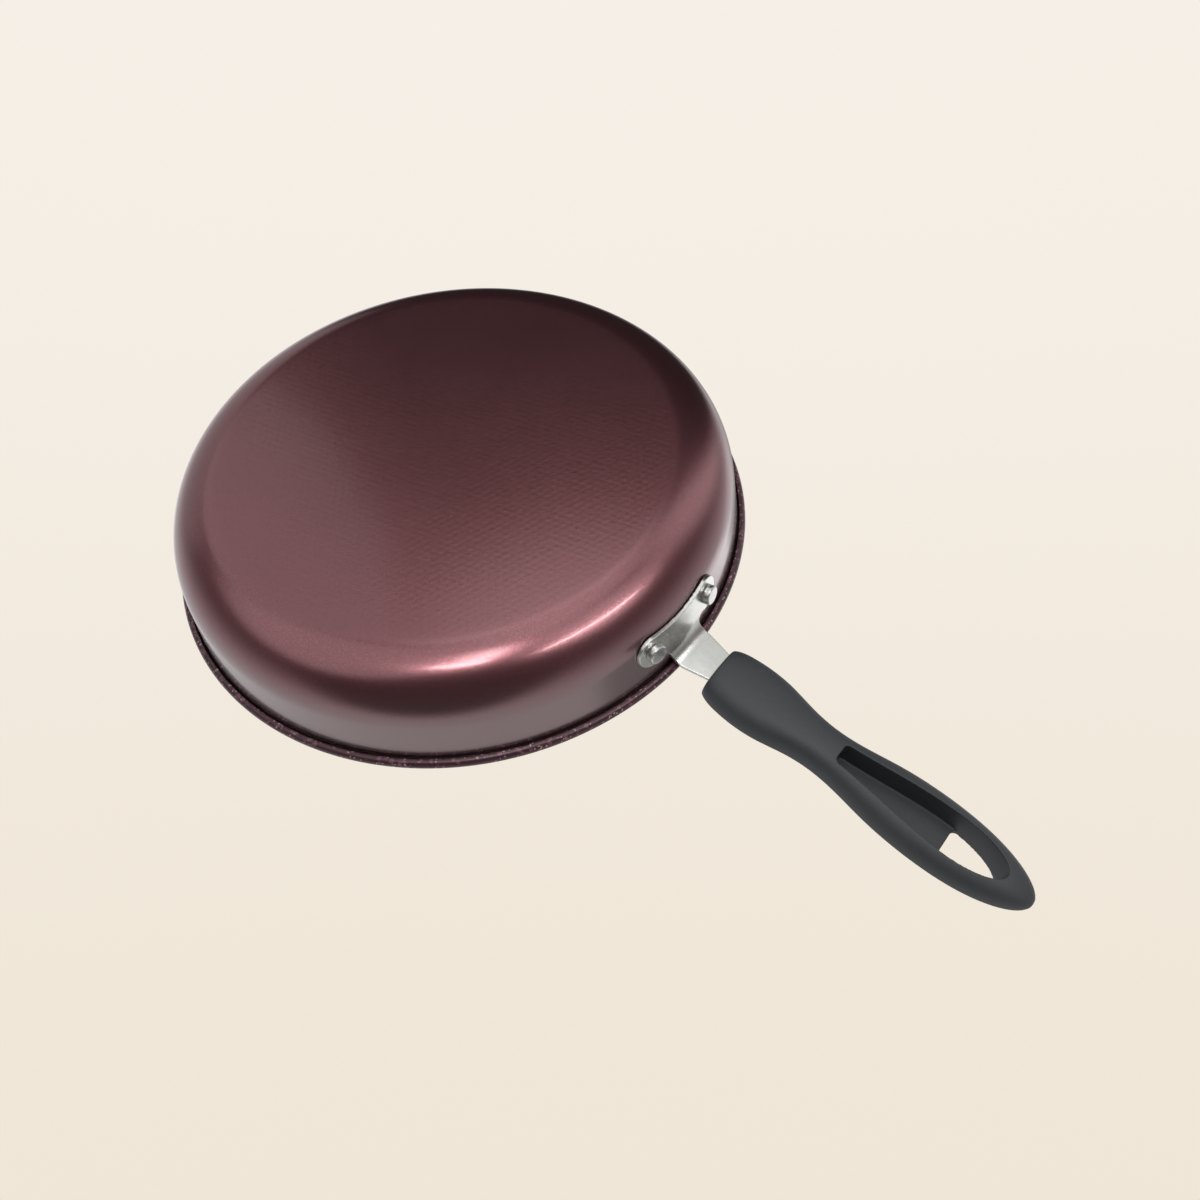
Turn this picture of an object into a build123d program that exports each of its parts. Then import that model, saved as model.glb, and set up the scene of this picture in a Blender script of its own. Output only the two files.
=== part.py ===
# Round frying pan of 26 cm. It stands on its base, as on a hob: the origin is the centre of
# the underside, Z points up out of the opening and the handle lies along X.
# Sizes are in millimetres, angles in degrees.

import os
from math import asin, atan2, cos, degrees, pi, radians, sin, sqrt, tan

from build123d import *

os.makedirs("parts", exist_ok=True)

# Driving dimensions of the pressed pan
rim_radius = 130.0
pan_height = 47.0
pan_sheet = 1.2
bead_diameter = 4.6
curl_turn = 275.0
wall_draft = 5.2
corner_radius = 25.7

# Driving dimensions of the rivets
rivet_spread = 34.8
rivet_drop = 21.5
shank_diameter = 5.0
shank_clearance = 0.1
outer_head_diameter = 8.4
outer_head_height = 3.2
outer_head_rounding = 0.9
inner_head_diameter = 9.0
inner_head_height = 1.6
inner_head_rounding = 1.1
rivet_seat_gap = 0.05

# Driving dimensions of the handle bracket
bracket_sheet = 1.6
bracket_seat_gap = 0.05
ear_radius = 7.7
ear_trim = 3.0
web_edge_drop = 6.3
notch_radius = 3.6
neck_width = 19.4
tongue_width = 14.6
neck_bend = 7.5
tab_bend = 0.5
tab_margin = 1.0
tab_corner = 3.0

# Driving dimensions of the handle
handle_rise = 11.05
handle_rim_drop = 4.4
handle_reach = 19.8
front_edge_radius = 1.2
section_exponent = 2.4
socket_depth = 14.0
socket_clearance = 0.4
socket_corner = 0.6
trough_front = 58.2
trough_front_width = 8.8
trough_front_corner = 2.0
trough_widest = 108.7
trough_width = 17.6
trough_end = 133.0
trough_floor_height = 4.8
hanging_hole_front = 109.6
hanging_hole_corner = 2.5

# Driving dimensions of the screw, its washers and its nut
screw_rise = 1.0
screw_diameter = 4.0
screw_hole_clearance = 0.25
shoulder_station = 46.8
screw_head_diameter = 7.0
screw_head_height = 2.6
screw_head_rounding = 0.8
screw_tip_reach = 1.5
screw_tip_chamfer = 0.6
drive_slot_width = 1.1
drive_slot_depth = 1.3
head_channel_diameter = 7.8
flat_washer_diameter = 7.4
flat_washer_thickness = 0.6
spring_washer_diameter = 6.8
spring_washer_thickness = 1.1
spring_washer_split = 0.8
washer_bore_clearance = 0.15
nut_width = 7.0
nut_height = 3.0
nut_bore_clearance = 0.02
nut_edge_chamfer = 0.4
nut_seat_gap = 0.1

# Stations along the handle: distance from its front, half width and half thickness there
handle_stations = [
    (0.0, 11.0, 7.9),
    (3.5, 12.8, 8.7),
    (9.1, 13.9, 9.1),
    (17.6, 14.4, 9.2),
    (28.3, 13.5, 8.9),
    (40.4, 10.9, 8.4),
    (52.6, 9.7, 8.2),
    (64.8, 10.7, 8.5),
    (79.0, 13.1, 9.1),
    (97.4, 14.7, 9.3),
    (111.8, 14.4, 9.2),
    (124.1, 12.8, 8.8),
    (133.3, 10.4, 7.8),
    (140.5, 7.4, 5.9),
    (145.0, 4.2, 3.7),
    (146.8, 1.7, 1.6),
]
section_points = 16

# The rim places what hangs on the wall: the rivets and the handle keep their distance from it
rivet_height = pan_height - rivet_drop
handle_axis_height = pan_height - handle_rim_drop - rim_radius * tan(radians(handle_rise))
handle_front = rim_radius + handle_reach

# The pan's outer profile: flat base, round corner, straight wall that leans out by the draft
bead_radius = bead_diameter / 2
bead_centre = (rim_radius - bead_radius, pan_height - bead_radius)
draft = radians(wall_draft)
wall_top = (bead_centre[0] - bead_radius * cos(draft), bead_centre[1] + bead_radius * sin(draft))
food_corner_radius = corner_radius - pan_sheet
corner_top_height = corner_radius * (1 - sin(draft))
food_corner_height = corner_radius - food_corner_radius * sin(draft)
food_corner_reach = wall_top[0] - (wall_top[1] - food_corner_height) * tan(draft)
base_flat_radius = food_corner_reach - food_corner_radius * cos(draft)


# Outer radius of the wall at a height, and how far the wall leans out there
def wall_at(height):
    if height >= corner_top_height:
        reach = base_flat_radius + corner_radius * cos(draft)
        return reach + (height - corner_top_height) * tan(draft), draft
    lean = asin((corner_radius - height) / corner_radius)
    return base_flat_radius + corner_radius * cos(lean), lean


# The two rivets stand square to the wall, as far to the left of the handle as to the right
wall_radius, wall_lean = wall_at(rivet_height)
rivet_angle = degrees(asin(rivet_spread / 2 / wall_radius))
bracket_outer_face = bracket_seat_gap + bracket_sheet


def rivet_plane(side):
    outward = Vector(cos(wall_lean), 0, -sin(wall_lean)).rotate(Axis.Z, side * rivet_angle)
    seat = Vector(wall_radius, 0, rivet_height).rotate(Axis.Z, side * rivet_angle)
    across = Vector(0, 1, 0).rotate(Axis.Z, side * rivet_angle)
    return Plane(origin=seat, x_dir=across, z_dir=outward)


# The handle's own frame, from the middle of its front: x runs out along the grip, z up through it
rise = radians(handle_rise)
handle_direction = Vector(cos(rise), 0, sin(rise))
handle_up = Vector(-sin(rise), 0, cos(rise))
handle_plane = Plane(
    origin=handle_up * (handle_axis_height * cos(rise)) + handle_direction * handle_front,
    x_dir=handle_direction,
    z_dir=handle_up,
)


def station_plane(station, height=0.0):
    centre = handle_plane.from_local_coords((station, 0, height))
    return Plane(origin=centre, x_dir=(0, 1, 0), z_dir=handle_direction)


def point_in_side_view(station, height):
    point = handle_plane.from_local_coords((station, 0, height))
    return (point.X, point.Z)


# The bracket in the side view: a leg up the wall, a neck out to the handle, a tab up for the screw
tab_back = socket_depth - socket_clearance
tab_middle = tab_back - bracket_sheet / 2
neck_top = screw_rise - nut_width / 2 - nut_seat_gap - tab_bend
neck_middle = neck_top - bracket_sheet / 2
socket_mouth = point_in_side_view(0, neck_top)[0]
tab_top = screw_rise + nut_width / 2 + tab_margin
leg_middle = bracket_seat_gap + bracket_sheet / 2
leg_point = (
    wall_radius + leg_middle * cos(wall_lean),
    rivet_height - leg_middle * sin(wall_lean),
)
leg_length = ear_radius + ear_trim
leg_foot = (
    leg_point[0] - leg_length * sin(wall_lean),
    leg_point[1] - leg_length * cos(wall_lean),
)
neck_level = handle_axis_height * cos(rise) + neck_middle
leg_level = -leg_point[0] * sin(rise) + leg_point[1] * cos(rise)
leg_reach = (neck_level - leg_level) / cos(rise + wall_lean)
neck_corner = (
    leg_point[0] + leg_reach * sin(wall_lean),
    leg_point[1] + leg_reach * cos(wall_lean),
)

# The bracket in the front view: two round ears, a waisted web and a neck between two notches
ear_side = rivet_spread / 2
neck_side = neck_width / 2
web_edge = rivet_height - web_edge_drop
waist_radius = (ear_side**2 + web_edge_drop**2 - ear_radius**2) / (2 * (ear_radius - web_edge_drop))
waist_centre = (0, web_edge - waist_radius)
notch_side = neck_side + notch_radius
notch_height = rivet_height + sqrt((ear_radius + notch_radius) ** 2 - (ear_side - notch_side) ** 2)
ear_low_angle = degrees(atan2(waist_centre[1] - rivet_height, -ear_side))
ear_high_angle = degrees(atan2(notch_height - rivet_height, notch_side - ear_side))
neck_view_top = pan_height * 2


# Pressed pan: one sheet from the middle of the base to the end of the curled rim
with BuildPart() as pan_body:
    with BuildSketch(Plane.XZ):
        with BuildLine():
            food_base = Line((0, pan_sheet), (base_flat_radius, pan_sheet))
            food_corner = CenterArc(
                (base_flat_radius, corner_radius), food_corner_radius, -90, 90 - wall_draft
            )
            Line(food_corner @ 1, wall_top)
            curl_outside = CenterArc(bead_centre, bead_radius, 180 - wall_draft, -curl_turn)
            curl_inside = CenterArc(
                bead_centre, bead_radius - pan_sheet, 180 - wall_draft, -curl_turn
            )
            Line(curl_outside @ 1, curl_inside @ 1)
            under_corner = CenterArc(
                (base_flat_radius, corner_radius), corner_radius, -90, 90 - wall_draft
            )
            Line(under_corner @ 1, curl_inside @ 0)
            under_base = Line((0, 0), (base_flat_radius, 0))
            Line(under_base @ 0, food_base @ 0)
        make_face()
    revolve(axis=Axis.Z)
    for side in (-1, 1):
        with BuildSketch(rivet_plane(side)):
            Circle(shank_diameter / 2 + shank_clearance)
        extrude(amount=2 * pan_sheet, both=True, mode=Mode.SUBTRACT)
pan_body.part.label = "pan_body"
export_step(pan_body.part, "parts/pan_body.step")


# Bracket: one strip of sheet, bent as the side view shows and hugging the round wall,
# then cut to its outline in the front view and narrowed to a tongue inside the handle
with BuildPart() as handle_bracket:
    with BuildLine(Plane.XZ):
        bend_line = FilletPolyline(
            leg_foot,
            neck_corner,
            point_in_side_view(tab_middle, neck_middle),
            point_in_side_view(tab_middle, tab_top),
            radius=[neck_bend + bracket_sheet / 2, tab_bend + bracket_sheet / 2],
        )
    hug_radius = wall_radius / cos(wall_lean) + leg_middle
    hug_angle = degrees((ear_side + 2 * ear_radius) / hug_radius)
    foot_plane = Plane(
        origin=(leg_foot[0], 0, leg_foot[1]),
        x_dir=(0, 1, 0),
        z_dir=(-sin(wall_lean), 0, -cos(wall_lean)),
    )
    with BuildSketch(foot_plane):
        with BuildLine():
            strip_back = CenterArc(
                (0, -hug_radius), hug_radius - bracket_sheet / 2, 90 - hug_angle, 2 * hug_angle
            )
            strip_face = CenterArc(
                (0, -hug_radius), hug_radius + bracket_sheet / 2, 90 - hug_angle, 2 * hug_angle
            )
            Line(strip_back @ 0, strip_face @ 0)
            Line(strip_back @ 1, strip_face @ 1)
        make_face()
    sweep(path=bend_line)
    with BuildSketch(Plane.YZ):
        with BuildLine():
            waist_arc = CenterArc(waist_centre, waist_radius, 90, ear_low_angle + 90)
            CenterArc(
                (ear_side, rivet_height), ear_radius, ear_low_angle, ear_high_angle - ear_low_angle
            )
            notch_arc = CenterArc(
                (notch_side, notch_height), notch_radius, 180 + ear_high_angle, -ear_high_angle
            )
            neck_edge = Line(notch_arc @ 1, (neck_side, neck_view_top))
            neck_view_end = Line(neck_edge @ 1, (0, neck_view_top))
            Line(neck_view_end @ 1, waist_arc @ 0)
        make_face()
        mirror(about=Plane.YZ)
    extrude(amount=2 * rim_radius, mode=Mode.INTERSECT)
    with BuildSketch(Plane.XY):
        with BuildLine():
            taper = Polyline(
                (0, ear_side + ear_radius * 2),
                (leg_point[0] + neck_bend, ear_side + ear_radius * 2),
                (leg_point[0] + neck_bend, neck_side),
                (socket_mouth, tongue_width / 2),
                (socket_mouth + socket_depth * 2, tongue_width / 2),
                (socket_mouth + socket_depth * 2, 0),
            )
            Line(taper @ 1, (0, 0))
            Line((0, 0), taper @ 0)
        make_face()
        mirror(about=Plane.XZ)
    extrude(amount=neck_view_top, mode=Mode.INTERSECT)
    tab_edges = edges().filter_by(lambda edge: abs(edge.length - bracket_sheet) < 0.05)
    fillet(tab_edges.group_by(Axis.Z)[-1], tab_corner)
    for side in (-1, 1):
        with BuildSketch(rivet_plane(side)):
            Circle(shank_diameter / 2 + shank_clearance)
        extrude(amount=2 * bracket_outer_face, both=True, mode=Mode.SUBTRACT)
    with BuildSketch(station_plane(tab_middle, screw_rise)):
        Circle(screw_diameter / 2 + screw_hole_clearance)
    extrude(amount=bracket_sheet, both=True, mode=Mode.SUBTRACT)
handle_bracket.part.label = "handle_bracket"
export_step(handle_bracket.part, "parts/handle_bracket.step")


# Rivet: shank through wall and bracket, tall drum head outside, low head in the pan.
# The corner of the pan starts under the inner head, which sits out by the dip it bridges.
inner_head_dip = (inner_head_diameter / 2) ** 2 / (2 * food_corner_radius)
inner_head_seat = -pan_sheet - inner_head_dip - rivet_seat_gap
outer_head_seat = bracket_outer_face + rivet_seat_gap
shank_length = outer_head_seat - inner_head_seat


def make_rivet(side, name):
    seat = rivet_plane(side)
    turning_plane = Plane(origin=seat.origin, x_dir=seat.z_dir, z_dir=seat.x_dir)
    with BuildPart() as rivet:
        with BuildSketch(turning_plane):
            with Locations((inner_head_seat, 0)):
                Rectangle(shank_length, shank_diameter / 2, align=(Align.MIN, Align.MIN))
            with Locations((outer_head_seat, 0)):
                head = (outer_head_height, outer_head_diameter / 2)
                Rectangle(*head, align=(Align.MIN, Align.MIN))
            with Locations((inner_head_seat, 0)):
                head = (inner_head_height, inner_head_diameter / 2)
                Rectangle(*head, align=(Align.MAX, Align.MIN))
        revolve(axis=Axis(seat.origin, seat.z_dir))
        rims = edges().filter_by(GeomType.CIRCLE).sort_by(Axis(seat.origin, seat.z_dir))
        fillet(rims[-1], outer_head_rounding)
        fillet(rims[0], inner_head_rounding)
    rivet.part.label = name
    export_step(rivet.part, f"parts/{name}.step")


make_rivet(1, "rivet_left")
make_rivet(-1, "rivet_right")


# Handle: a grip lofted through rounded sections, hollowed by the bracket's socket in front,
# the screw's hole and channel along the middle, and the long trough that ends in the hanging hole
def point_on_section(angle, half_width, half_thickness):
    across = abs(cos(angle)) ** (2 / section_exponent) * half_width
    up = abs(sin(angle)) ** (2 / section_exponent) * half_thickness
    return (across if cos(angle) > 0 else -across, up if sin(angle) > 0 else -up)


def grip_section(half_width, half_thickness):
    angles = [2 * pi * (step + 0.5) / section_points for step in range(section_points)]
    return [point_on_section(angle, half_width, half_thickness) for angle in angles]


with BuildPart() as handle:
    for station, half_width, half_thickness in handle_stations:
        with BuildSketch(station_plane(station)):
            with BuildLine():
                Spline(grip_section(half_width, half_thickness), periodic=True)
            make_face()
    loft()
    fillet(edges().sort_by(Axis.X)[0], front_edge_radius)
    socket_floor_height = neck_top - bracket_sheet - socket_clearance
    socket_height = tab_top + socket_clearance - socket_floor_height
    with BuildSketch(station_plane(0, socket_floor_height + socket_height / 2)):
        RectangleRounded(tongue_width + 2 * socket_clearance, socket_height, socket_corner)
    extrude(amount=socket_depth, mode=Mode.SUBTRACT)
    with BuildSketch(station_plane(socket_depth, screw_rise)):
        Circle(screw_diameter / 2 + screw_hole_clearance)
    extrude(amount=trough_front, mode=Mode.SUBTRACT)
    with BuildSketch(station_plane(shoulder_station, screw_rise)):
        Circle(head_channel_diameter / 2)
    extrude(amount=trough_front - shoulder_station + screw_head_height, mode=Mode.SUBTRACT)
    with BuildSketch(handle_plane.offset(trough_floor_height)):
        with BuildLine():
            tail = EllipticalCenterArc(
                (trough_widest, 0),
                trough_end - trough_widest,
                trough_width / 2,
                start_angle=0,
                arc_size=90,
            )
            flank = Spline(
                tail @ 1,
                (trough_front, trough_front_width / 2),
                tangents=[(-1, 0), (-1, -0.05)],
            )
            front = Line(flank @ 1, (trough_front, 0))
            Line(front @ 1, tail @ 0)
        make_face()
        mirror(about=Plane.XZ)
        fillet(vertices().group_by(Axis.X)[0], trough_front_corner)
    extrude(amount=-trough_width, mode=Mode.SUBTRACT)
    with BuildSketch(handle_plane.offset(trough_floor_height)):
        with Locations((trough_widest, 0)):
            Ellipse(trough_end - trough_widest, trough_width / 2)
        with Locations((hanging_hole_front, 0)):
            beyond = trough_end - trough_front
            Rectangle(beyond, beyond, align=(Align.MAX, Align.CENTER), mode=Mode.SUBTRACT)
        fillet(vertices().group_by(Axis.X)[0], hanging_hole_corner)
    extrude(amount=trough_width, mode=Mode.SUBTRACT)
handle.part.label = "handle"
export_step(handle.part, "parts/handle.step")


# Screw stack, from the tab of the bracket back to the shoulder inside the handle:
# square nut on the tab, screw through the handle, flat washer, split spring washer, screw head
screw_axis = Axis(station_plane(0, screw_rise).origin, handle_direction)
screw_side_view = Plane(origin=screw_axis.position, x_dir=handle_direction, z_dir=(0, -1, 0))
nut_front = tab_middle - bracket_sheet / 2 - nut_seat_gap - nut_height
flat_washer_front = shoulder_station
spring_washer_front = flat_washer_front + flat_washer_thickness
head_front = spring_washer_front + spring_washer_thickness
washer_bore = screw_diameter / 2 + washer_bore_clearance

with BuildPart() as square_nut:
    with BuildSketch(station_plane(nut_front, screw_rise)):
        Rectangle(nut_width, nut_width)
        Circle(screw_diameter / 2 + nut_bore_clearance, mode=Mode.SUBTRACT)
    extrude(amount=nut_height)
    outline = faces().sort_by(screw_axis)[0].outer_wire().edges()
    chamfer(outline, nut_edge_chamfer)
square_nut.part.label = "square_nut"
export_step(square_nut.part, "parts/square_nut.step")

with BuildPart() as flat_washer:
    with BuildSketch(station_plane(flat_washer_front, screw_rise)):
        Circle(flat_washer_diameter / 2)
        Circle(washer_bore, mode=Mode.SUBTRACT)
    extrude(amount=flat_washer_thickness)
flat_washer.part.label = "flat_washer"
export_step(flat_washer.part, "parts/flat_washer.step")

with BuildPart() as spring_washer:
    with BuildSketch(station_plane(spring_washer_front, screw_rise)):
        Circle(spring_washer_diameter / 2)
        Circle(washer_bore, mode=Mode.SUBTRACT)
        Rectangle(
            spring_washer_split,
            spring_washer_diameter,
            align=(Align.CENTER, Align.MIN),
            mode=Mode.SUBTRACT,
        )
    extrude(amount=spring_washer_thickness)
spring_washer.part.label = "spring_washer"
export_step(spring_washer.part, "parts/spring_washer.step")

with BuildPart() as handle_screw:
    shank_start = nut_front - screw_tip_reach
    with BuildSketch(screw_side_view):
        with Locations((shank_start, 0)):
            shank = (head_front - shank_start, screw_diameter / 2)
            Rectangle(*shank, align=(Align.MIN, Align.MIN))
        with Locations((head_front, 0)):
            head = (screw_head_height, screw_head_diameter / 2)
            Rectangle(*head, align=(Align.MIN, Align.MIN))
    revolve(axis=screw_axis)
    rounds = edges().filter_by(GeomType.CIRCLE).sort_by(screw_axis)
    fillet(rounds[-1], screw_head_rounding)
    chamfer(rounds[0], screw_tip_chamfer)
    with BuildSketch(station_plane(head_front + screw_head_height, screw_rise)):
        Rectangle(screw_head_diameter, drive_slot_width)
    extrude(amount=-drive_slot_depth, mode=Mode.SUBTRACT)
handle_screw.part.label = "handle_screw"
export_step(handle_screw.part, "parts/handle_screw.step")
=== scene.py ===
# %% [markdown]
# # A frying pan with a riveted bracket and a waisted grip
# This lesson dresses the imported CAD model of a 26 cm frying pan. The pan stands on its base at
# the origin, Z points up out of its opening and the grip lies along X. All lengths are metres.
# The CAD decides the sizes and where each piece sits. Blender adds what a drawing leaves out:
# soft edges, paint, sparkle, brush marks and the small scuffs of use.

# %% The frame from the CAD
from math import asin, cos, pi, radians, sin, tan

import bmesh
import bpy
from mathutils import Euler, Matrix, Vector


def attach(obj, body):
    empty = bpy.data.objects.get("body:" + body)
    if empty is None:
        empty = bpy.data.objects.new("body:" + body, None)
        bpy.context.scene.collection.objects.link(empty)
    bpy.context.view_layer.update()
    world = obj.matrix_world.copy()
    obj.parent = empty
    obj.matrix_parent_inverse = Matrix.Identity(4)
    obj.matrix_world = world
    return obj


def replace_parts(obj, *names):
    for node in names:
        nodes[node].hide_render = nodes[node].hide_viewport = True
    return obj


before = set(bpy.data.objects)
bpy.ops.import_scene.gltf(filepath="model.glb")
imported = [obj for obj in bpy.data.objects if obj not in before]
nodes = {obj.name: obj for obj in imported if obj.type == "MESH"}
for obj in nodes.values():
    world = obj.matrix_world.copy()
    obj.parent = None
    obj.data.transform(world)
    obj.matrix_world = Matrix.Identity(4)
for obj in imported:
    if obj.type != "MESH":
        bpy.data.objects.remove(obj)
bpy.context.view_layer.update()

scene = bpy.context.scene
scene.view_settings.view_transform = "Standard"
print("CAD nodes:", sorted(nodes))

# %% [markdown]
# ## Writing shader maths as plain sums
# A procedural finish is a chain of small calculations. Wired by hand that is dozens of nodes, so
# here one class stands for a socket: adding or multiplying two of them adds the Math node that
# does it. A second class holds a material and makes every other kind of node.

# %% Sockets that can be added and multiplied
class Wire:
    def __init__(self, finish, socket):
        self.finish = finish
        self.socket = socket

    def __add__(self, other):
        return self.finish.math("ADD", self, other)

    def __sub__(self, other):
        return self.finish.math("SUBTRACT", self, other)

    def __mul__(self, other):
        return self.finish.math("MULTIPLY", self, other)

    def __rsub__(self, other):
        return self.finish.math("SUBTRACT", other, self)

    __radd__ = __add__
    __rmul__ = __mul__


# %% A finish: one material, or the world, and the nodes in it
MIX_FACTOR, FIRST_COLOUR, SECOND_COLOUR = 0, 6, 7
OBJECT_PLACE, MIXED_COLOUR, LENGTH_OR_DOT, CELL_COLOUR = 3, 2, 1, 1


class Finish:
    def __init__(self, name, owner=None):
        self.owner = owner or bpy.data.materials.new(name)
        self.owner.use_nodes = True
        self.tree = self.owner.node_tree
        self.tree.nodes.clear()

    def node(self, kind, settings=None, inputs=None):
        made = self.tree.nodes.new("ShaderNode" + kind)
        for setting, value in (settings or {}).items():
            setattr(made, setting, value)
        for socket, value in (inputs or {}).items():
            self.plug(made.inputs[socket], value)
        return made

    def plug(self, socket, value):
        if isinstance(value, Wire):
            self.tree.links.new(value.socket, socket)
        elif isinstance(value, tuple) and len(value) == 3 and len(socket.default_value) == 4:
            socket.default_value = (*value, 1.0)
        else:
            socket.default_value = value

    def wire(self, kind, settings=None, inputs=None, output=0):
        return Wire(self, self.node(kind, settings, inputs).outputs[output])

    def math(self, operation, *values):
        return self.wire("Math", {"operation": operation}, dict(enumerate(values)))

    def vector(self, operation, *values, output=0):
        return self.wire("VectorMath", {"operation": operation}, dict(enumerate(values)), output)

    def mix(self, factor, below, above):
        inputs = {MIX_FACTOR: factor, FIRST_COLOUR: below, SECOND_COLOUR: above}
        return self.wire("Mix", {"data_type": "RGBA"}, inputs, MIXED_COLOUR)

    def step(self, value, start, end):
        settings = {"interpolation_type": "SMOOTHSTEP"}
        return self.wire("MapRange", settings, {0: value, 1: start, 2: end})

    def place(self):
        return self.wire("TexCoord", output=OBJECT_PLACE)

    def split(self, vector):
        parts = self.node("SeparateXYZ", inputs={0: vector})
        return [Wire(self, parts.outputs[axis]) for axis in range(3)]

    def noise(self, where, scale, detail=2.0, roughness=0.5):
        inputs = {"Vector": where, "Scale": scale, "Detail": detail, "Roughness": roughness}
        return self.wire("TexNoise", inputs=inputs)

    def bump(self, height, depth, under=None):
        inputs = {"Height": height, "Distance": depth, "Strength": 1.0}
        if under is not None:
            inputs["Normal"] = under
        return self.wire("Bump", inputs=inputs)

    def surface(self, **inputs):
        named = {name.replace("_", " "): value for name, value in inputs.items()}
        shader = self.wire("BsdfPrincipled", inputs=named)
        self.node("OutputMaterial", inputs={"Surface": shader})
        return self.owner


print("Wire and Finish are ready")

# %% [markdown]
# ## Colour on the screen and colour in the shader
# Colours are easiest to name as they look on a screen. Shaders count light, so each part of a
# screen colour is straightened first.

# %% Screen colours to light
def paint(red, green, blue):
    def straighten(part):
        part = part / 255
        return part / 12.92 if part <= 0.04045 else ((part + 0.055) / 1.055) ** 2.4

    return tuple(straighten(part) for part in (red, green, blue))


print("mid grey on the screen is", round(paint(128, 128, 128)[0], 3), "in light")

# %% [markdown]
# ## The stove paint outside
# The outside of the pan is sprayed with a maroon pearl paint. Mica flakes in it lie almost flat,
# so it gleams like dull metal under a thin clear film. It could be a plain glossy paint, but then
# the broad soft gleam round the corner would be missing: an almost metallic base under a coat
# gives both. The pressed base carries a fine embossed lattice of dots, which three crossed waves
# give. Its relief is only about a hundredth of a millimetre, so it is a bump and not a shape.

# %% The embossed lattice of the base
MM = 0.001
base_flat = 99.0 * MM
dot_spacing = 2.9 * MM
dot_height = 0.009 * MM
lattice_turns = (18, 78, -42)
print("dots every", round(dot_spacing / MM, 1), "mm")


def lattice(finish, where):
    x, y, z = finish.split(where)
    wave_number = 2 * pi / dot_spacing
    waves = None
    for turn in lattice_turns:
        east, north = wave_number * cos(radians(turn)), wave_number * sin(radians(turn))
        wave = finish.math("COSINE", x * east + y * north)
        waves = wave if waves is None else waves + wave
    flat = finish.wire("CombineXYZ", inputs={0: x, 1: y})
    reach = finish.vector("LENGTH", flat, output=LENGTH_OR_DOT)
    dots = finish.step(waves, -0.5, 2.2)
    inside = 1 - finish.step(reach, base_flat - 4 * MM, base_flat + 2 * MM)
    return dots * inside * (1 - finish.step(z, 0.4 * MM, 0.9 * MM))


# %% Pearl maroon paint
cloud_scale, flake_scale, spray_scale, scuff_scale = 14.0, 2600.0, 420.0, 60.0
spray_height = 0.02 * MM


def pearl_paint():
    finish = Finish("pearl_maroon_paint")
    where = finish.place()
    height = finish.split(where)[2]
    cloud = finish.noise(where, cloud_scale, 3.0)
    flake = finish.step(finish.noise(where, flake_scale, 1.0), 0.45, 0.75)
    scuff = finish.step(finish.noise(where, scuff_scale, 6.0, 0.7), 0.62, 0.8)
    rub = scuff * (1 - finish.step(height, 0.5 * MM, 4 * MM))
    deep = finish.mix(cloud, paint(129, 81, 85), paint(136, 89, 93))
    pearl = finish.mix(flake, deep, paint(148, 106, 111))
    # Up the corner and wall the colour turns greyer: a painted grey sheen for the coat's pale
    # grazing reflection.
    wall = finish.step(height, 6 * MM, 26 * MM)
    wall_sheen = finish.mix(wall * 0.8, pearl, paint(134, 119, 120))
    sheen_and_wear = finish.mix(rub * 0.12, wall_sheen, paint(150, 118, 120))
    skin = finish.bump(finish.noise(where, spray_scale, 2.0), spray_height)
    skin = finish.bump(lattice(finish, where), dot_height, skin)
    return finish.surface(
        Base_Color=sheen_and_wear,
        Metallic=0.93,
        Roughness=0.23 + cloud * 0.04 + rub * 0.04,
        Normal=skin,
        Coat_Weight=0.6,
        Coat_Roughness=0.09,
    )


outside_paint = pearl_paint()
print("outside:", outside_paint.name, len(outside_paint.node_tree.nodes), "nodes")

# %% [markdown]
# ## The speckled non-stick coat
# Inside, and over the rolled rim, the same sheet has a non-stick coat: dark maroon with a dense
# scatter of pale pink and near black specks. Cells of a Voronoi texture make good specks, because
# each cell has its own random tone and a sharp edge. Two sizes of cell keep it from looking ruled.

# %% Speckled coat
fine_cells, broad_cells = 1500.0, 700.0
coat_cloud, coat_tooth, coat_tooth_height = 25.0, 900.0, 0.03 * MM


def cell_tones(finish, where, scale):
    inputs = {"Vector": where, "Scale": scale}
    return finish.split(finish.wire("TexVoronoi", {"feature": "F1"}, inputs, CELL_COLOUR))


def speckled_coat():
    finish = Finish("speckled_coat")
    where = finish.place()
    fine_tone = cell_tones(finish, where, fine_cells)[0]
    broad_tone = cell_tones(finish, where, broad_cells)[1]
    cloud = finish.noise(where, coat_cloud, 3.0)
    ground = finish.mix(cloud, paint(66, 34, 42), paint(78, 42, 50))
    dark = finish.mix(finish.step(fine_tone, 0.72, 0.78) * 0.5, ground, paint(34, 20, 26))
    rosy = finish.mix(finish.step(broad_tone, 0.84, 0.88) * 0.3, dark, paint(170, 118, 132))
    pale = finish.mix(finish.step(0.06 - fine_tone, 0.0, 0.03) * 0.7, rosy, paint(196, 166, 172))
    skin = finish.bump(finish.noise(where, coat_tooth, 2.0), coat_tooth_height)
    return finish.surface(
        Base_Color=pale,
        Metallic=0.25,
        Roughness=0.34 + cloud * 0.1,
        Normal=skin,
        Coat_Weight=0.3,
        Coat_Roughness=0.25,
    )


inside_coat = speckled_coat()
print("inside:", inside_coat.name, len(inside_coat.node_tree.nodes), "nodes")

# %% [markdown]
# ## Bracket, rivets and fasteners
# The bracket is pressed from bright plated steel strip. Its long grain shows as faint streaks, and
# handling leaves small dull patches, so roughness changes more than colour does. The rivets are
# softer aluminium, dented a little by the setting tool. Screw, washers and nut are zinc plated.

# %% Bright metals
along_the_strip = (0.06, 1.0, 0.25)
streak_height = 0.006 * MM
patch_scale, grime_scale, dent_scale = 160.0, 55.0, 700.0


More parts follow.
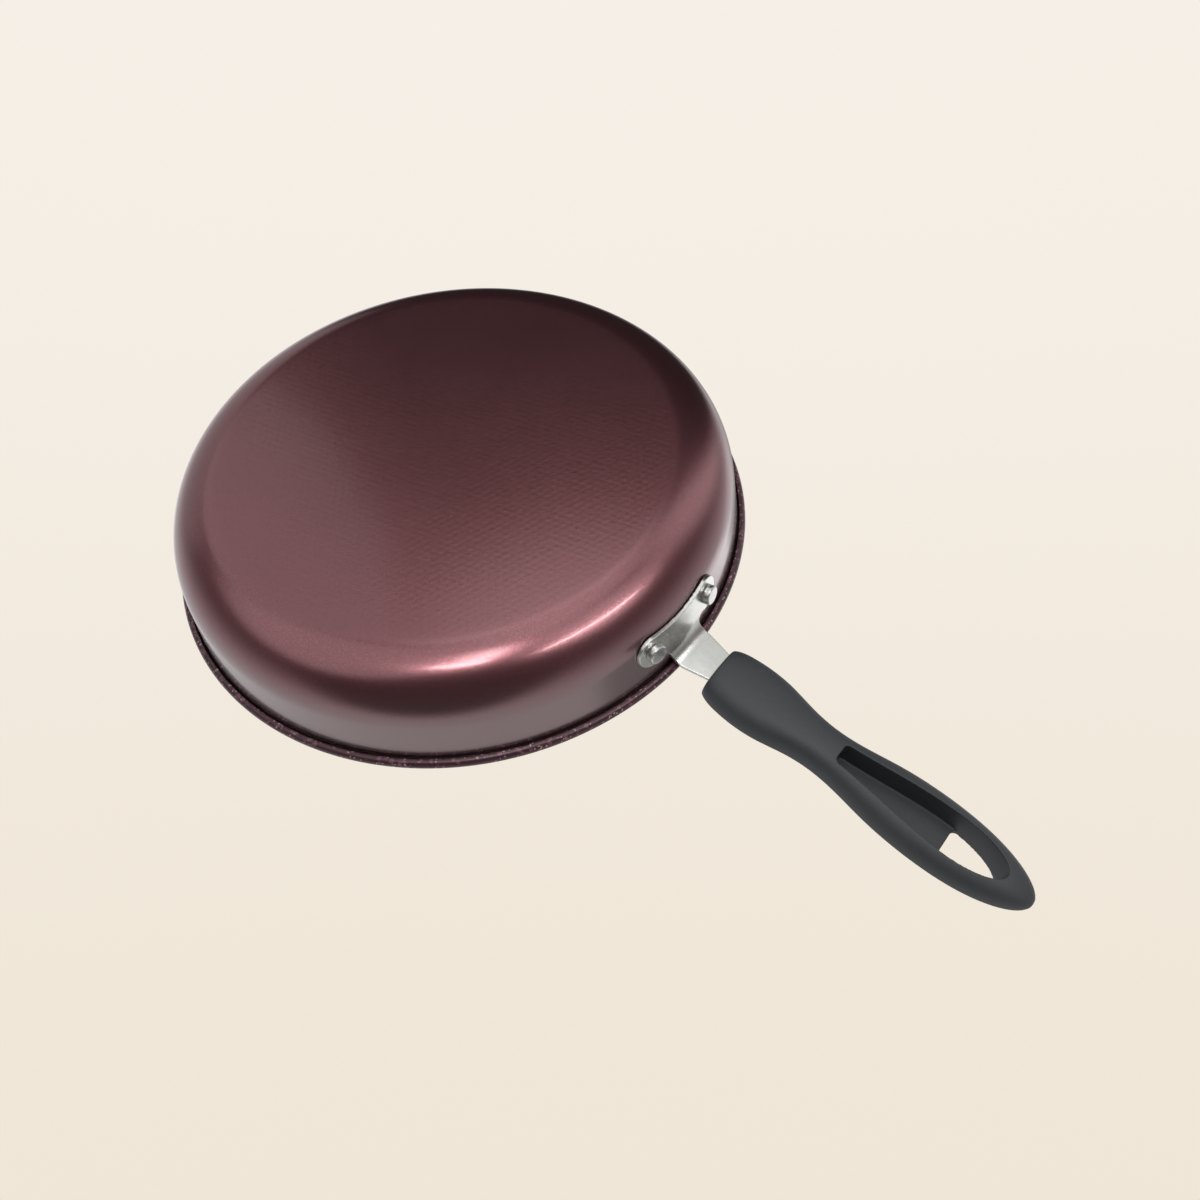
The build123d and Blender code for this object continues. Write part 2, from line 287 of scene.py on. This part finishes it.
def bright_metal(name, light, dark, rough, grain, dent):
    finish = Finish(name)
    where = finish.place()
    stretch = finish.vector("MULTIPLY", where, along_the_strip)
    streak = finish.noise(stretch, grain, 3.0)
    patch = finish.noise(where, patch_scale, 4.0, 0.6)
    grime = finish.step(finish.noise(where, grime_scale, 3.0), 0.5, 0.75)
    tone = finish.mix(streak * 0.5 + patch * 0.5, dark, light)
    soiled = finish.mix(grime * 0.25, tone, paint(120, 112, 104))
    skin = finish.bump(streak, streak_height)
    skin = finish.bump(finish.noise(where, dent_scale, 2.0), dent, skin)
    return finish.surface(
        Base_Color=soiled,
        Metallic=1.0,
        Roughness=rough + patch * 0.14 + grime * 0.08,
        Normal=skin,
    )


light, dark, zinc = paint(226, 226, 222), paint(196, 197, 192), paint(206, 204, 190)
strip_grain, wire_grain = 2600.0, 900.0
bracket_plate = bright_metal("bracket_plate", light, dark, 0.21, strip_grain, 0.01 * MM)
rivet_metal = bright_metal("rivet_metal", light, dark, 0.26, wire_grain, 0.1 * MM)
zinc_plate = bright_metal("zinc_plate", zinc, dark, 0.3, wire_grain, 0.02 * MM)
print("metals:", bracket_plate.name, rivet_metal.name, zinc_plate.name)

# %% [markdown]
# ## The grip's plastic
# The grip is moulded in a charcoal thermoset with a spark-eroded matte skin. Two scales of noise
# make the skin: a fine tooth that kills the gloss and a slower drift where hands have polished it.
# A little dust lightens it here and there.

# %% Matte charcoal plastic
tooth_scale, drift_scale, dust_scale = 1500.0, 30.0, 240.0
tooth_height = 0.035 * MM


def grip_plastic():
    finish = Finish("charcoal_grip")
    where = finish.place()
    tooth = finish.noise(where, tooth_scale, 3.0, 0.6)
    drift = finish.noise(where, drift_scale, 3.0)
    dust = finish.step(finish.noise(where, dust_scale, 6.0, 0.75), 0.58, 0.8)
    body = finish.mix(drift, paint(52, 54, 58), paint(62, 64, 67))
    dusty = finish.mix(dust * 0.2, body, paint(112, 112, 110))
    skin = finish.bump(tooth, tooth_height)
    return finish.surface(
        Base_Color=dusty,
        Roughness=0.46 + drift * 0.16,
        Normal=skin,
        Specular_IOR_Level=0.5,
    )


charcoal = grip_plastic()
print("grip:", charcoal.name)

# %% [markdown]
# ## Turning a profile
# The pan is pressed from one disc of sheet and the rivets are turned from wire, so both are round
# about an axis. A lathe in code takes a closed outline and spins it: that keeps the sheet's
# thickness and the rolled rim exact. The CAD mesh has the same shape, but with fewer facets than
# the long reflections on paint can hide.

# %% Lathe
def arc(centre, radius, start, turn, steps):
    angles = [radians(start + turn * step / steps) for step in range(steps + 1)]
    return [(centre[0] + radius * cos(a), centre[1] + radius * sin(a)) for a in angles]


def lathe(name, outline, segments, finishes, finish_of=lambda ring: 0):
    mesh = bpy.data.meshes.new(name)
    rings = bmesh.new()
    spun = []
    for reach, height in outline:
        if reach < 1e-7:
            spun.append([rings.verts.new((0, 0, height))] * segments)
        else:
            turns = [2 * pi * step / segments for step in range(segments)]
            spun.append([rings.verts.new((reach * cos(t), reach * sin(t), height)) for t in turns])
    for ring, (low, high) in enumerate(zip(spun, spun[1:] + spun[:1])):
        for step in range(segments):
            after = (step + 1) % segments
            corners = list(dict.fromkeys([low[step], low[after], high[after], high[step]]))
            if len(corners) > 2:
                face = rings.faces.new(corners)
                face.smooth = True
                face.material_index = finish_of(ring)
    bmesh.ops.recalc_face_normals(rings, faces=rings.faces)
    rings.to_mesh(mesh)
    rings.free()
    made = bpy.data.objects.new(name, mesh)
    scene.collection.objects.link(made)
    for finish in finishes:
        mesh.materials.append(finish)
    print(name, len(mesh.vertices), "vertices", len(mesh.polygons), "faces")
    return made


# %% [markdown]
# ## The pressed pan
# The outline starts in the middle of the underside and runs out along the flat base, round the
# wide corner and up the leaning wall. There the sheet rolls outward and down into a bead, and the
# outline comes back along its other side. Only that other side carries the speckled coat.

# %% Pan outline
sheet = 1.2 * MM
rim_reach, pan_height = 130.0 * MM, 47.0 * MM
bead = 2.3 * MM
draft_degrees = 5.2
draft = radians(draft_degrees)
corner = 25.7 * MM
bead_centre = (rim_reach - bead, pan_height - bead)
wall_top = (bead_centre[0] - bead * cos(draft), bead_centre[1] + bead * sin(draft))
food_corner_height = corner - (corner - sheet) * sin(draft)
food_corner_reach = wall_top[0] - (wall_top[1] - food_corner_height) * tan(draft)
flat_reach = food_corner_reach - (corner - sheet) * cos(draft)
corner_centre = (flat_reach, corner)
print("flat base", round(flat_reach * 2000, 1), "mm across")


def along(start, end, steps):
    run, rise = end[0] - start[0], end[1] - start[1]
    shares = [step / steps for step in range(steps)]
    return [(start[0] + run * share, start[1] + rise * share) for share in shares]


# %% Both sides of the sheet
curl_start = 180 - draft_degrees
curl_turn = -275
corner_turn = 90 - draft_degrees
under = along((0, 0), (flat_reach, 0), 24)
under += arc(corner_centre, corner, -90, corner_turn, 40)
under_curl = arc(bead_centre, bead - sheet, curl_start, curl_turn, 30)
under += along(under[-1], under_curl[0], 8)[1:] + under_curl
food = arc(bead_centre, bead, curl_start, curl_turn, 44)[::-1]
food_corner = arc(corner_centre, corner - sheet, -90, corner_turn, 36)[::-1]
food += along(food[-1], food_corner[0], 8)[1:] + food_corner
food += along((flat_reach, sheet), (0, sheet), 20)[1:] + [(0, sheet)]
print(len(under), "points under,", len(food), "points on the food side")

# %% Pan body
pan_segments = 512
pan = lathe(
    "pan_shell",
    under + food,
    pan_segments,
    [outside_paint, inside_coat],
    finish_of=lambda ring: int(ring >= len(under) - 1),
)
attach(pan, "root")
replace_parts(pan, "pan_body")

# %% [markdown]
# ## Rivets
# Each rivet has a tall drum head with rounded shoulders outside, and a low wide one in the pan.
# A set rivet is never quite flat on top, so its head gets a slight dome. It sits square to the
# wall, which leans outward, so the axis tips down by that lean.

# %% Where the rivets sit
rivet_height = 25.5 * MM
half_spread = 17.4 * MM
straight_start = corner * (1 - sin(draft))
wall_reach = flat_reach + corner * cos(draft) + (rivet_height - straight_start) * tan(draft)
rivet_turn = asin(half_spread / wall_reach)
print("rivets at", round(wall_reach * 1000, 2), "mm from the axis")

# %% Rivet outline
shank = 2.5 * MM
outer_seat, outer_reach, outer_cap, outer_round = 1.7 * MM, 4.2 * MM, 3.2 * MM, 0.8 * MM
inner_seat, inner_reach, inner_cap, inner_round = -1.67 * MM, 4.5 * MM, 1.6 * MM, 1.1 * MM
drum_side, dome_rise = 0.9 * MM, 0.1 * MM
rivet_segments = 96


def rivet_outline():
    top, bottom = outer_seat + outer_cap, inner_seat - inner_cap
    turned_edge = (inner_reach - inner_round, bottom + inner_round)
    shoulder_centre = (outer_reach - outer_round, top - outer_round - dome_rise)
    shoulder = arc(shoulder_centre, outer_round, 0, 85, 10)
    outline = [(0, bottom)] + arc(turned_edge, inner_round, -90, 90, 8)
    outline += [(inner_reach, inner_seat), (shank, inner_seat), (shank, outer_seat)]
    outline += [(outer_reach, outer_seat), (outer_reach, outer_seat + drum_side)]
    return outline + shoulder + along(shoulder[-1], (0, top), 6)[1:] + [(0, top)]


# %% Both rivets
def rivet(name, side):
    made = lathe(name, rivet_outline(), rivet_segments, [rivet_metal])
    turn = side * rivet_turn
    outward = Vector((cos(draft) * cos(turn), cos(draft) * sin(turn), -sin(draft)))
    seat = Matrix.Translation((wall_reach * cos(turn), wall_reach * sin(turn), rivet_height))
    made.data.transform(seat @ outward.to_track_quat("Z", "Y").to_matrix().to_4x4())
    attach(made, "root")
    return made


for side, name in ((1, "rivet_left"), (-1, "rivet_right")):
    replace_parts(rivet("set_" + name, side), name)

# %% [markdown]
# ## Bracket and grip
# Both keep their CAD shape. A drawing ends at sharp edges, but pressed strip and moulded plastic
# don't. A bevel could round them, but it needs tidy faces, and CAD facets are long slivers. So a
# fine voxel skin is shrunk over the piece, then relaxed until its edges are as soft as real ones.

# %% Softened skins over CAD nodes
def soften(name, voxel, passes, finish):
    piece = nodes[name]
    skin = piece.modifiers.new("skin", "REMESH")
    skin.mode = "VOXEL"
    skin.voxel_size = voxel
    skin.use_smooth_shade = True
    relax = piece.modifiers.new("relax", "SMOOTH")
    relax.factor = 0.5
    relax.iterations = passes
    dress(name, finish)


def dress(name, finish):
    for material_slot in nodes[name].material_slots:
        material_slot.link = "OBJECT"
        material_slot.material = finish
    print(name, "wears", finish.name)


plate_voxel, plate_passes = 0.22 * MM, 3
grip_voxel, grip_passes = 0.32 * MM, 6
soften("handle_bracket", plate_voxel, plate_passes, bracket_plate)
soften("handle", grip_voxel, grip_passes, charcoal)
for name in ("handle_screw", "flat_washer", "spring_washer", "square_nut"):
    dress(name, zinc_plate)

# %% [markdown]
# ## Camera
# The pan is seen from below, from beside the end of the grip, so that its underside, the rivets
# and the hollow of the grip all show. A moderate lens from half a metre gives the right taper.

# %% Camera
lens_mm = 32.5
eye = (0.2763, 0.1989, -0.3325)
turn_degrees = (-143.824, -4.069, -38.811)
camera = bpy.data.objects.new("camera", bpy.data.cameras.new("camera"))
scene.collection.objects.link(camera)
camera.data.lens = lens_mm
camera.location = eye
camera.rotation_euler = Euler([radians(turn) for turn in turn_degrees])
scene.camera = camera
print("camera", round(Vector(eye).length, 3), "m from the middle of the base")

# %% [markdown]
# ## Light
# Glossy paint shows its surroundings, so the studio is painted round the pan as one soft picture:
# dim walls, a bright panel low under the base, dimmer ones beside it and dark gaps between them.
# Each panel is a round patch of the sky with a soft edge. They could be lamps, but a lamp near
# the pan leaves hard streaks on the bracket. Most were found by a fit to the gleams of the
# photograph, which says where the light must have come from, and then tuned.

# %% Panels: azimuth, elevation, half width, softness of the edge (degrees) and brightness
PANELS = (
    (82, -76, 9.0, 12.0, 15.0),
    (-22, -59, 17.0, 17.0, 1.3),
    (-93, -30, 29.7, 21.7, 1.07),
    (-122, -15, 38.8, 11.9, 0.02),
    (-137, 88, 21.5, 22.2, 0.36),
    (-64, 50, 17.0, 8.0, 1.4),
    (-22, 51, 13.8, 7.0, 0.3),
    (-164, 40, 12.2, 12.2, 1.06),
    (62, -21, 38.5, 22.5, 0.105),
    (-173, -12, 22.2, 10.5, 0.5),
    (-80, 29, 11.0, 10.3, 1.04),
    (131, -59, 28.5, 13.8, 0.89),
    (-171, -45, 14.2, 2.0, 0.7),
    (-135.5, -61.3, 9.6, 9.0, 1.62),
    (-112, -76, 12.0, 14.0, 1.3),
    (-134, 50, 24.0, 20.0, 0.3),
)


def toward(azimuth, elevation):
    flat = cos(radians(elevation))
    east, north = flat * cos(radians(azimuth)), flat * sin(radians(azimuth))
    return Vector((east, north, sin(radians(elevation))))


def add_panel(finish, where, glow, panel):
    azimuth, elevation, half, soft, bright = panel
    near = finish.vector("DOT_PRODUCT", where, toward(azimuth, elevation), output=LENGTH_OR_DOT)
    edges = [cos(radians(half + soft * side)) for side in (0.5, -0.5)]
    return glow + finish.step(near, *edges) * (bright - glow)


print(len(PANELS), "panels, the brightest", max(panel[-1] for panel in PANELS))

# %% [markdown]
# ## Two thin strips
# The corner of the pan carries two thin gleams that no round panel gives, so two long narrow
# lights do. Each lies along a great circle between two directions: how far a direction is off
# that circle gives the strip its width, and how near it is to the middle gives it its length.

# %% Strips: both ends (azimuth, elevation), half width (degrees) and brightness
STRIPS = (
    ((20, -57), (-35, -46), 0.8, 30.0),
    ((84, -67), (40, -68), 2.6, 14.0),
)
faded_share = 0.4


def add_strip(finish, where, glow, strip):
    first, last, half, bright = strip
    start, end = toward(*first), toward(*last)
    middle = (start + end).normalized()
    across = start.cross(end).normalized()
    off = finish.vector("DOT_PRODUCT", where, across, output=LENGTH_OR_DOT)
    near = finish.vector("DOT_PRODUCT", where, middle, output=LENGTH_OR_DOT)
    sides = [sin(radians(half * share)) for share in (0.5, 1.5)]
    width = 1 - finish.step(finish.math("ABSOLUTE", off), *sides)
    full = start.lerp(middle, faded_share).normalized()
    length = finish.step(near, middle.dot(start), middle.dot(full))
    return glow + width * length * (bright - glow)


print(len(STRIPS), "strips")

# %% [markdown]
# ## World
# Panels and strips are laid over dim walls that get lighter upwards. The dim light from below is
# tinted faintly rose, as by a warm dark room, which deepens the maroon where the base is dark.
# The camera itself sees only a cream backdrop, through Light Path's Is Camera Ray.

# %% World
wall_glow, ceiling_gain = 0.179, 0.536
screen_up = (-0.473, -0.655, -0.589)
backdrop = (paint(239, 230, 215), paint(246, 239, 231))
white, rose = paint(255, 255, 255), paint(255, 232, 233)


def studio_world():
    world = bpy.data.worlds.new("studio")
    scene.world = world
    finish = Finish("studio", world)
    where = finish.wire("TexCoord", output=0)
    height = finish.split(where)[2]
    glow = finish.step(height, -0.4, 0.4) * ceiling_gain + wall_glow
    for panel in PANELS:
        glow = add_panel(finish, where, glow, panel)
    for strip in STRIPS:
        glow = add_strip(finish, where, glow, strip)
    rise = finish.vector("DOT_PRODUCT", where, screen_up, output=LENGTH_OR_DOT)
    cream = finish.mix(finish.step(rise, -0.5, 0.5), *backdrop)
    seen = finish.wire("LightPath", output=0)
    dim = (1 - finish.step(height, -0.4, 0.0)) * (1 - finish.step(glow, 0.1, 0.5))
    colour = finish.mix(seen, finish.mix(dim, white, rose), cream)
    strength = seen + (1 - seen) * glow
    light = finish.wire("Background", inputs={"Color": colour, "Strength": strength})
    finish.node("OutputWorld", inputs={"Surface": light})
    print("studio:", len(world.node_tree.nodes), "nodes")


studio_world()

# %% [markdown]
# ## Floor
# The pan stands on a plain pale floor. Seen from below a floor would hide the pan, so only its
# top is there for the camera: everything else passes through it.

# %% Pale floor
BACKFACING = 6
floor_grain = 6.0


def pale_floor():
    finish = Finish("pale_floor")
    where = finish.place()
    grain = finish.noise(where, floor_grain, 3.0)
    tone = finish.mix(grain, paint(249, 243, 233), paint(252, 247, 239))
    matte = finish.wire("BsdfDiffuse", inputs={"Color": tone})
    clear = finish.wire("BsdfTransparent")
    from_below = finish.wire("NewGeometry", output=BACKFACING)
    seen = finish.wire("LightPath", output=0)
    solid = seen * (1 - from_below)
    body = finish.wire("MixShader", inputs={0: solid, 1: clear, 2: matte})
    finish.node("OutputMaterial", inputs={"Surface": body})
    return finish.owner


floor_mesh = bpy.data.meshes.new("floor")
half_side = 20.0
floor_mesh.from_pydata(
    [(x * half_side, y * half_side, 0) for x, y in ((-1, -1), (1, -1), (1, 1), (-1, 1))],
    [],
    [(0, 1, 2, 3)],
)
floor_mesh.materials.append(pale_floor())
floor = bpy.data.objects.new("floor", floor_mesh)
scene.collection.objects.link(floor)
print("floor:", floor_mesh.materials[0].name)
